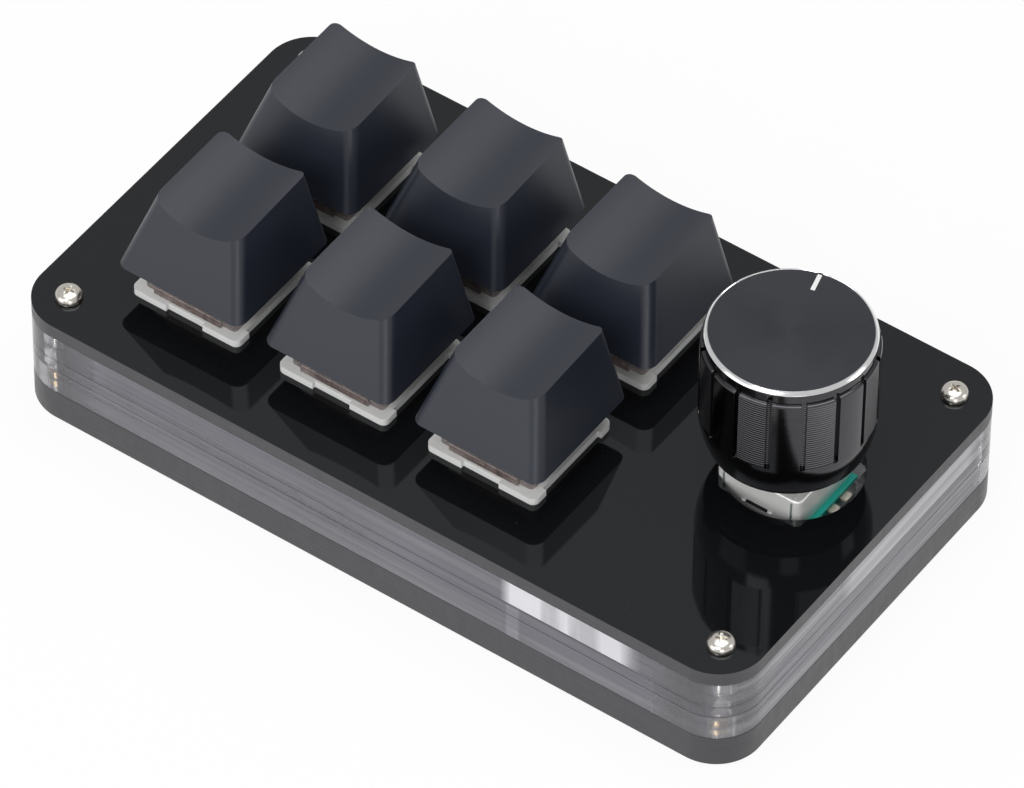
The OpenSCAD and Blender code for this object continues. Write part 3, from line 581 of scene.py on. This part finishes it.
def turnProfile(name, spot, points, steps=128):
    # a half section of (radius, height) points, spun round an upright axis
    made = startPoint(name, (spot[0] + points[0][0], spot[1], points[0][1]))
    for (r0, z0), (r1, z1) in zip(points, points[1:]):
        step = ((r1 - r0) * mm, 0, (z1 - z0) * mm)
        bpy.ops.mesh.extrude_region_move(TRANSFORM_OT_translate={"value": step})
    bpy.ops.mesh.select_all(action="SELECT")
    centre = (spot[0] * mm, spot[1] * mm, 0)
    bpy.ops.mesh.spin(steps=steps, angle=2 * math.pi, center=centre, axis=(0, 0, 1))
    bpy.ops.mesh.select_all(action="SELECT")
    bpy.ops.mesh.remove_doubles(threshold=1e-6)
    bpy.ops.mesh.normals_make_consistent(inside=False)
    bpy.ops.object.mode_set(mode="OBJECT")
    return made


# the stack of sheets

stack = {
    "length": 104.4, "width": 58.6, "corner": 6.2, "cornerSteps": 28, "gap": 0.02,
    "edge": 0.12, "bottomEdge": 0.15, "frameEdge": 0.06,
    "levels": {
        "bottom": (0, 4.6), "lower": (4.6, 8.3), "middle": (8.3, 10.1), "upper": (10.1, 13.9), "top": (13.9, 15.9),
    },
    "wall": 4.0, "block": (12.0, 9.0), "rib": (20.35, 22.25), "keyWindow": (-41.15, 20.35),
    "knobWindow": (7.1, 6.95), "pinWindow": (8.0, 4.3), "socketNotch": (-12.1, 4.77, 2.0),
    "keyHalf": 7.0, "knobHole": 8.7, "screwHole": 1.2, "insertHole": 1.9, "blindHole": (1.72, 1.6),
    "screws": [(x, y) for x in (-47.2, 47.2) for y in (-24.3, 24.3)],
}


def sheet(name, low, high):
    halfLong, halfWide = stack["length"] / 2, stack["width"] / 2
    made = addBox(name, (-halfLong, -halfWide, low), (halfLong, halfWide, high))
    return roundEdges(made, isUpright, stack["corner"], stack["cornerSteps"])


def drill(obj, spots, radius, low, high):
    tools = [addRod("tool", spot, radius, low, high, 64) for spot in spots]
    return cut(obj, joinUp(tools))


def bayTool(low, high):
    halfLong, halfWide = stack["length"] / 2, stack["width"] / 2
    wall, (blockLong, blockWide) = stack["wall"], stack["block"]
    tool = addBox("bay", (wall - halfLong, wall - halfWide, low), (halfLong - wall, halfWide - wall, high))
    for sx in (-1, 1):
        for sy in (-1, 1):
            xs = sorted((sx * (halfLong + 1), sx * (halfLong - blockLong)))
            ys = sorted((sy * (halfWide + 1), sy * (halfWide - blockWide)))
            cut(tool, addBox("block", (xs[0], ys[0], low - 1), (xs[1], ys[1], high + 1)))
    return tool


def isSide(centre, normal):
    return abs(normal.z) < 0.5


def finishSheet(made, node, flat, side, slot, edge):
    soften(made, edge, 2, 50)
    dress(made, flat, side)
    paint(made, 1, isSide)
    smooth(made, 25)
    place(made, "case", slot, node)


def makeTopPlate():
    low, high = stack["levels"]["top"]
    made = sheet("topPlateFace", low, high)
    half = stack["keyHalf"]
    tools = [boxAt("cutOut", spot, (half, half), low - 1, high + 1) for spot in keySpots]
    tools.append(addRod("knobHole", holeSpot, stack["knobHole"], low - 1, high + 1, 128))
    cut(made, joinUp(tools))
    drill(made, stack["screws"], stack["screwHole"], low - 1, high + 1)
    finishSheet(made, "top_plate", "polishedBlack", "sawnBlack", "black_acrylic", stack["edge"])


def makeBottomPlate():
    low, high = stack["levels"]["bottom"]
    made = sheet("bottomPlateFace", low, high)
    radius, floor = stack["blindHole"]
    drill(made, stack["screws"], radius, floor, high + 1)
    finishSheet(made, "bottom_plate", "polishedBlack", "sawnBlack", "black_acrylic", stack["bottomEdge"])


def makeFrames():
    gap = stack["gap"]
    halfWide = stack["width"] / 2
    inner = halfWide - stack["wall"]
    notchX, notchHalf, notchDeep = stack["socketNotch"]
    for name, hole in (("upper", "screwHole"), ("middle", "screwHole"), ("lower", "insertHole")):
        low, high = stack["levels"][name]
        low, high = low + gap, high - gap
        made = sheet(name + "FrameClear", low, high)
        if name == "upper":
            left, right = stack["keyWindow"]
            tools = [addBox("keyWindow", (left, -inner, low - 1), (right, inner, high + 1))]
            tools += [boxAt(key, knobSpot, stack[key], low - 1, high + 1) for key in ("knobWindow", "pinWindow")]
            tools.append(addBox("socketNotch", (notchX - notchHalf, inner - notchDeep, low - 1),
                                (notchX + notchHalf, halfWide + 1, high + 1)))
            for tool in tools:
                cut(made, tool)
        else:
            tool = bayTool(low - 1, high + 1)
            if name == "lower":
                left, right = stack["rib"]
                cut(tool, addBox("rib", (left, -halfWide, low - 2), (right, halfWide, high + 2)))
            cut(made, tool)
        drill(made, stack["screws"], stack[hole], low - 1, high + 1)
        finishSheet(made, name + "_frame", "clearSheet", "clearCut", "clear_acrylic", stack["frameEdge"])


makeTopPlate()
makeBottomPlate()
makeFrames()
print("sheets made")


# keycaps

cap = {
    "base": 9.08, "lift": 5.57, "skirt": 0.3, "height": 9.62, "over": 0.7,
    "topSide": 6.31, "topFront": 5.09, "topBack": 8.5, "corner": 1.5, "backCorner": 1.1, "cornerSteps": 8,
    "wall": 1.25, "ceiling": 6.9, "dishRadius": 14.72, "dishDepth": 1.42, "dishTilt": 2.1,
    "edge": 0.22, "socket": 2.55, "socketFoot": 0.93, "cross": (4.1, 1.3), "crossTop": 4.6,
}


def capOutline(inset, h):
    # half width, front edge and back edge of the keycap at a height above its base
    sides = (cap["topSide"], cap["topFront"], cap["topBack"])
    return [cap["base"] - (cap["base"] - top) / cap["height"] * h - inset for top in sides]


def capShell(name, inset, low, high):
    # a box whose top is drawn in, so its sides lean as the keycap's do
    (x0, front0, back0), (x1, front1, back1) = capOutline(inset, low), capOutline(inset, high)
    made = addBox(name, (-x0, -front0, low), (x0, back0, high))
    middle = (back0 - front0) / 2
    chooseFaces(made, lambda c, n: n.z > 0.5)
    bpy.ops.transform.resize(value=(x1 / x0, (front1 + back1) / (front0 + back0), 1),
                             center_override=(0, middle * mm, high * mm))
    bpy.ops.transform.translate(value=(0, ((back1 - front1) / 2 - middle) * mm, 0))
    bpy.ops.object.mode_set(mode="OBJECT")
    return made


def makeKeycap():
    def leans(a, b):
        return abs(a.z - b.z) > 3

    made = capShell("keycapModel", 0, -cap["skirt"], cap["height"] + cap["over"])
    roundEdges(made, lambda a, b: leans(a, b) and a.y < 0, cap["corner"], cap["cornerSteps"])
    roundEdges(made, lambda a, b: leans(a, b) and min(a.y, b.y) > 4, cap["backCorner"], cap["cornerSteps"])
    deselectAll()
    bpy.ops.mesh.primitive_cylinder_add(
        vertices=360, radius=cap["dishRadius"] * mm, depth=40 * mm,
        location=(0, 0, (cap["height"] - cap["dishDepth"] + cap["dishRadius"]) * mm),
        rotation=(math.radians(90 + cap["dishTilt"]), 0, 0))
    cut(made, settle(bpy.context.object))
    hollow = capShell("hollow", cap["wall"], -1, cap["ceiling"])
    roundEdges(hollow, leans, 0.8, 4)
    cut(made, hollow)
    soften(made, cap["edge"], 3, 28)
    tube = addRod("socket", (0, 0), cap["socket"], cap["socketFoot"], cap["ceiling"] + 0.3, 64)
    long, short = (v / 2 for v in cap["cross"])
    for halves in ((long, short), (short, long)):
        cut(tube, boxAt("slot", (0, 0), halves, 0, cap["crossTop"]))
    soften(tube, 0.08, 2, 50)
    made = joinUp([made, tube])
    dress(made, "capPlastic")
    return smooth(made, 22)


capModel = makeKeycap()
for i, (x, y) in enumerate(keySpots):
    made = copyOf(capModel, "keycapFace_%d" % (i + 1))
    made.location = (x * mm, y * mm, (plateTop + cap["lift"]) * mm)
    settle(made)
    place(made, "key_%d" % (i + 1), "cap_plastic", "keycap_%d" % (i + 1))
bpy.data.objects.remove(capModel)
print("keycaps made")


# knob

knob = {
    "foot": 21.3, "height": 17.8, "grip": 10.6, "neck": 10.2, "neckHeight": 1.9, "face": 9.8, "chamfer": 0.45,
    "footRadius": 9.7, "collar": 5.0, "core": 8.4, "roof": 3.0, "grooveWidth": 0.62, "grooveDepth": 0.5,
    "pointer": (6.9, 9.78, 0.6, 104.0), "pointerDeep": 0.12, "pointerGap": 0.02, "dip": 0.1,
}


def makeKnob():
    z, top = knob["foot"], knob["foot"] + knob["height"]
    foot, grip, neck, core = (knob[key] for key in ("footRadius", "grip", "neck", "core"))
    gripTop, collar, roof = top - knob["neckHeight"], z + knob["collar"], top - knob["roof"]
    faceTop = top - knob["dip"]
    profile = [
        (core, z), (foot - 0.4, z), (foot - 0.1, z + 0.15), (foot, z + 0.5), (foot + 0.42, z + 1.6),
        (grip - 0.16, z + 3.1), (grip - 0.03, z + 4.2), (grip, collar),
        (grip, gripTop - 0.3), (grip - 0.08, gripTop - 0.08), (grip - 0.3, gripTop),
        (neck + 0.04, gripTop), (neck, gripTop + 0.06), (neck, top - knob["chamfer"]),
        (knob["face"], top), (knob["face"] - 0.06, faceTop), (0, faceTop), (0, roof), (core, roof), (core, z),
    ]
    made = turnProfile("knobShellTurned", knobSpot, profile, 144)
    half = knob["grooveWidth"] / 2
    tools = []
    for i in range(knobCut["grooves"]):
        tool = addBox("groove", (grip - knob["grooveDepth"], -half, collar), (grip + 1, half, gripTop + 0.5))
        roundEdges(tool, lambda a, b: abs(a.x - b.x) > 0.5 and a.z < z + 8, 0.29, 5)
        tools.append(turnTo(tool, knobSpot, knobCut["turn"] + 360 * i / knobCut["grooves"]))
    cut(made, joinUp(tools))
    inner, outer, width, turn = knob["pointer"]
    floor, gap = faceTop - knob["pointerDeep"], knob["pointerGap"]
    cut(made, turnTo(addBox("pointer", (inner, -width / 2, floor), (outer, width / 2, top + 1)), knobSpot, turn))
    soften(made, 0.06, 2, 40)
    dress(made, "anodisedGrip", "brightCut", "turnedBlack")
    centre = Vector((knobSpot[0], knobSpot[1], 0))

    def reach(point):
        return (Vector((point.x, point.y, 0)) - centre).length

    paint(made, 2, lambda c, n: n.z > 0.95 and c.z > top - 0.3 and reach(c) < knob["face"])
    paint(made, 1, lambda c, n: c.z > top - knob["chamfer"] - 0.02 and knob["face"] - 0.1 < reach(c) and n.z > 0.2)
    smooth(made, 30)
    place(made, "knob", "black_anodised", "knob_shell")
    line = addBox("pointerPaint", (inner + gap, gap - width / 2, floor),
                  (outer - 0.2, width / 2 - gap, faceTop - gap))
    turnTo(line, knobSpot, turn)
    soften(line, 0.03, 2)
    dress(line, "whitePaint")
    smooth(line, 30)
    place(line, "knob", "black_anodised")


makeKnob()
print("knob made")


# screws

screw = {
    "head": 1.75, "height": 1.3, "shank": 1.0, "length": 12.0,
    "crossWidth": 0.42, "crossReach": 1.05, "crossDepth": 0.85, "crossTaper": (0.35, 0.7), "turns": (12, 52, 28, 70),
}


def makeScrew(spot, turn):
    z, head, shank = plateTop, screw["head"], screw["shank"]
    tip, crown = z - screw["length"], z + screw["height"]
    profile = [
        (0, tip), (shank * 0.7, tip), (shank, tip + 0.4), (shank, z), (head - 0.08, z), (head, z + 0.1),
        (head - 0.03, z + 0.45), (head - 0.16, z + 0.8), (head - 0.45, z + 1.08), (head - 0.9, z + 1.25),
        (0.4, crown), (0, crown),
    ]
    body = turnProfile("screw", spot, profile, 64)
    halves = (screw["crossReach"], screw["crossWidth"] / 2)
    for quarter in (0, 90):
        arm = boxAt("arm", (0, 0), halves, crown - screw["crossDepth"], z + 2)
        chooseFaces(arm, lambda c, n: n.z < -0.5)
        bpy.ops.transform.resize(value=(*screw["crossTaper"], 1), center_override=(0, 0, z * mm))
        bpy.ops.object.mode_set(mode="OBJECT")
        cut(body, turnTo(arm, spot, turn + quarter))
    return body


def makeScrews():
    made = joinUp([makeScrew(spot, turn) for spot, turn in zip(stack["screws"], screw["turns"])])
    made.name = "caseScrewsTurned"
    soften(made, 0.04, 2, 45)
    dress(made, "nickelPlate")
    smooth(made, 35)
    place(made, "case", "nickel", "case_screws")


makeScrews()
print("screws made")


# encoder

encoder = {
    "half": (5.9, 5.95), "corner": 0.9, "foot": 10.1, "skirt": 13.6, "top": 18.1,
    "sheet": 0.5, "bend": 0.3, "bushing": 3.5, "slit": 4.75, "slitHalf": 0.15, "slitDrop": 0.55,
    "slot": (3.0, 14.1, 0.3), "band": (4.2, 0.25, 0.9), "bandRound": 0.22, "lug": (1.05, 3.2),
    "lip": (0.75, 0.5), "notch": (5.15, 0.7, 1.2), "well": (4.1, 11.7), "domeWell": (2.5, 10.7),
    "pinReach": 7.3, "pinPitch": 2.5, "pinTop": 12.9, "leg": (0.2, 0.4), "armHalf": 0.65, "armThick": 0.4,
}


def makeEncoderCover():
    x, y = knobSpot
    long, wide = encoder["half"]
    sheetThick, foot, skirt, top = (encoder[key] for key in ("sheet", "foot", "skirt", "top"))
    made = boxAt("encoderCoverSheet", knobSpot, (long, wide), foot, top)
    roundEdges(made, isUpright, encoder["corner"], 8)
    roundEdges(made, lambda a, b: min(a.z, b.z) > top - 0.01, encoder["bend"], 4)
    hollow = boxAt("hollow", knobSpot, (long - sheetThick, wide - sheetThick), foot - 1, top - sheetThick)
    roundEdges(hollow, isUpright, encoder["corner"] - sheetThick, 6)
    cut(made, hollow)
    cut(made, addRod("hole", knobSpot, encoder["bushing"], top - 1, top + 1, 96))
    flapHalf = encoder["slit"] - encoder["slitHalf"]
    slotWide, slotLow, slotHigh = encoder["slot"]
    bandWide, bandOut, bandHigh = encoder["band"]
    lugHalf, lugLong = encoder["lug"]
    for side in (-1, 1):
        cut(made, boxAt("open", (x + side * (flapHalf + 2), y), (2, wide + 1), foot - 2, skirt))
        for wall in (-1, 1):
            spot = (x + side * encoder["slit"], y + wall * (wide - sheetThick / 2))
            cut(made, boxAt("slit", spot, (encoder["slitHalf"], sheetThick), skirt - 1, top - encoder["slitDrop"]))
    for wall in (-1, 1):
        wallY = y + wall * (wide - sheetThick / 2)
        band = boxAt("band", (x, y + wall * wide), (bandWide / 2, bandOut), slotLow - bandHigh, slotLow + 0.05)

        def isOut(a):
            return wall * (a.y - y) > wide

        roundEdges(band, lambda a, b: isOut(a) and isOut(b) and max(a.z, b.z) < slotLow, encoder["bandRound"], 4)
        roundEdges(band, lambda a, b: isUpright(a, b) and isOut(a), encoder["bandRound"], 4)
        cut(made, band, "UNION")
        cut(made, boxAt("slot", (x, wallY), (slotWide / 2, sheetThick), slotLow, slotLow + slotHigh))
        lug = boxAt("lug", (x, wallY), (lugHalf, sheetThick / 2 - 0.08), foot - lugLong, foot + 0.2)
        cut(made, lug, "UNION")
    soften(made, 0.03, 2, 40)
    dress(made, "coverSteel", "corePlastic")

    # painted shade: the inner faces of the slot take the dark plastic, standing in for the shade inside it
    def slotShadeFaces(c, n):
        return (abs(c.x - x) < slotWide / 2 + 0.02 and slotLow - 0.02 < c.z < slotLow + slotHigh * 0.7
                and abs(n.y) < 0.5)

    paint(made, 1, slotShadeFaces)
    smooth(made, 30)
    place(made, "case", "cover_steel", "encoder_bracket")


def makeEncoderBase():
    long, wide = encoder["half"]
    out, high = encoder["lip"]
    inset = encoder["sheet"] + 0.01
    foot, skirt, top = encoder["foot"], encoder["skirt"], encoder["top"]
    made = boxAt("encoderBaseMoulded", knobSpot, (long - inset, wide - inset), foot, top - inset)
    roundEdges(made, isUpright, 0.25, 4)
    lip = boxAt("lip", knobSpot, (long + out, wide - inset - 0.02), skirt - high, skirt - 0.01)
    roundEdges(lip, isUpright, 0.2, 3)
    cut(made, lip, "UNION")
    slotWide, slotLow, slotHigh = encoder["slot"]
    notchAt, *notchHalves = encoder["notch"]
    for wall in (-1, 1):
        front = knobSpot[1] + wall * wide
        for side in (-1, 1):
            cut(made, boxAt("cornerNotch", (knobSpot[0] + side * notchAt, front), notchHalves, skirt + 0.01, top + 1))
        relief = (slotWide / 2 + 0.3, 1.0)
        cut(made, boxAt("slotRelief", (knobSpot[0], front), relief, slotLow - 0.4, slotLow + slotHigh + 0.5))
    for radius, floor in (encoder["well"], encoder["domeWell"]):
        cut(made, addRod("well", knobSpot, radius, floor, top + 1, 96))
    soften(made, 0.03, 2, 45)
    dress(made, "tealPlastic")
    smooth(made, 30)
    place(made, "case", "teal_plastic", "encoder_base")


def makeEncoderPins():
    x, y = knobSpot
    reach, top = encoder["pinReach"], encoder["pinTop"]
    inner = encoder["half"][0] - encoder["sheet"] + 0.01
    outer = reach + encoder["leg"][0]
    made = []
    for side, rows in ((1, (-1, 0, 1)), (-1, (-1, 1))):
        for row in rows:
            spot = (x + side * reach, y + row * encoder["pinPitch"])
            pin = boxAt("pin", spot, encoder["leg"], encoder["foot"] - encoder["lug"][1], top - 0.05)
            middle, halves = (x + side * (inner + outer) / 2, spot[1]), ((outer - inner) / 2, encoder["armHalf"])
            arm = boxAt("arm", middle, halves, top - encoder["armThick"], top)

            def isBend(a):
                return a.z > top - 0.01 and side * (a.x - x) > outer - 0.01

            roundEdges(arm, lambda a, b: isBend(a) and isBend(b), 0.25, 4)
            made.append(cut(arm, pin, "UNION"))
    made = joinUp(made)
    made.name = "encoderPinsBent"
    soften(made, 0.04, 2, 45)
    dress(made, "tinnedPin")
    smooth(made, 30)
    place(made, "case", "contact_metal", "encoder_pins")


makeEncoderCover()
makeEncoderBase()
makeEncoderPins()
print("encoder made")


# upper housings of the switches

housing = {
    "foot": (6.7, 1.0, 2.2), "roof": (5.3, 4.9, 6.6), "wall": 0.9, "cavity": 5.1, "stemHole": (3.58, 2.88, 3.3),
    "window": (4.95, -7.3, -6.1, 2.4),
}


def housingForm(name, inset, drop):
    half, low, step = housing["foot"]
    roofLong, roofWide, roof = housing["roof"]
    made = addBox(name, (inset - half, inset - half, low - drop), (half - inset, half - inset, step))
    chooseFaces(made, lambda c, n: n.z > 0.5)
    bpy.ops.mesh.extrude_region_move(TRANSFORM_OT_translate={"value": (0, 0, (roof - inset - step) * mm)})
    drawIn = ((roofLong - inset) / (half - inset), (roofWide - inset) / (half - inset), 1)
    bpy.ops.transform.resize(value=drawIn, center_override=(0, 0, 0))
    bpy.ops.object.mode_set(mode="OBJECT")
    return made


def makeHousing():
    low, roof = housing["foot"][1], housing["roof"][2]
    made = housingForm("housingModel", 0, 0)
    roundEdges(made, isUpright, 0.5, 4)
    windowHalf, front, back, windowTop = housing["window"]
    window = addBox("window", (-windowHalf, front, low + 0.2), (windowHalf, back, windowTop))

    def isBrow(a):
        return a.z > windowTop - 0.01 and a.y < front + 0.01

    roundEdges(window, lambda a, b: isBrow(a) and isBrow(b), 0.3, 4)
    cut(made, window, "UNION")
    hollow = housingForm("hollow", housing["wall"], 0.5)
    cavity = housing["cavity"]
    cut(hollow, addBox("cavity", (-cavity, -cavity, low - 1), (cavity, cavity, roof + 1)), "INTERSECT")
    cut(made, hollow)
    cut(made, boxAt("stemHole", (0, 0), housing["stemHole"][:2], housing["stemHole"][2], roof + 1))
    soften(made, 0.08, 2, 40)
    dress(made, "smokedHousing", "housingWindow")
    # the front faces take the window finish, with its painted shade and painted light
    paint(made, 1, lambda c, n: c.y < front + 0.2 and n.y < -0.5)
    return smooth(made, 30)


housingModel = makeHousing()
for i, (x, y) in enumerate(keySpots):
    made = copyOf(housingModel, "switchHousing_%d" % (i + 1))
    made.location = (x * mm, y * mm, plateTop * mm)
    settle(made)
    place(made, "case", "clear_housing", "switch_top_%d" % (i + 1))
bpy.data.objects.remove(housingModel)
print("housings made")


# finishes of the pieces that keep their solids

nodeLooks = {
    "threaded_inserts": "brassInsert", "circuit_board": "boardMask", "controller_chip": "chipEpoxy",
    "board_parts": "chipCeramic", "usb_shell": "socketSteel", "usb_tongue": "chipEpoxy",
    "switch_contacts": "contactCopper", "encoder_bushing": "coverSteel", "encoder_rotor": "rotorPlastic",
    "encoder_dome": "contactCopper", "encoder_shaft": "shaftMetal", "knob_insert": "corePlastic",
}
for i in range(1, len(keySpots) + 1):
    nodeLooks["switch_base_%d" % i] = "milkyPlastic"
    nodeLooks["stem_%d" % i] = "stemPlastic"
    nodeLooks["spring_%d" % i] = "springWire"
for name, finish in nodeLooks.items():
    for part in nodes[name].material_slots:
        part.material = looks[finish]
print("finishes given:", len(nodeLooks))


# stage

def makeStage():
    deselectAll()
    bpy.ops.mesh.primitive_plane_add(size=6, location=(0, 0, -0.0002))
    floor = bpy.context.object
    floor.name = "floor"
    look = Look("floorPaint", roughness=0.9, specular=0.1)
    look.feed("Base Color", look.mix(look.noise(3, 2), (0.84, 0.84, 0.84), (0.82, 0.82, 0.82)))
    camera, glossy, through = (
        look.node("ShaderNodeLightPath", out="Is %s Ray" % kind) for kind in ("Camera", "Glossy", "Transmission"))
    seen = camera.maths("MAXIMUM", glossy).maths("MAXIMUM", through)
    glow = look.node("ShaderNodeEmission", {}, {"Strength": 1.0})
    floor.data.materials.append(look.surface(seen * view["floorGlow"], glow).material)
    world = bpy.data.worlds.new("studio")
    bpy.context.scene.world = world
    world.use_nodes = True
    tree = world.node_tree
    path = tree.nodes.new("ShaderNodeLightPath")
    lit, seenLevel = tree.nodes.new("ShaderNodeMix"), tree.nodes.new("ShaderNodeMix")
    lit.inputs[2].default_value, lit.inputs[3].default_value = view["worldGlow"], view["worldLight"]
    seenLevel.inputs[3].default_value = 1.0
    tree.links.new(path.outputs["Is Diffuse Ray"], lit.inputs[0])
    tree.links.new(path.outputs["Is Camera Ray"], seenLevel.inputs[0])
    tree.links.new(lit.outputs[0], seenLevel.inputs[2])
    tree.nodes["Background"].inputs[0].default_value = (1, 1, 1, 1)
    tree.links.new(seenLevel.outputs[0], tree.nodes["Background"].inputs[1])


makeCamera()
makeLamps()
makeStage()
bpy.context.scene.view_settings.view_transform = "Standard"
deselectAll()
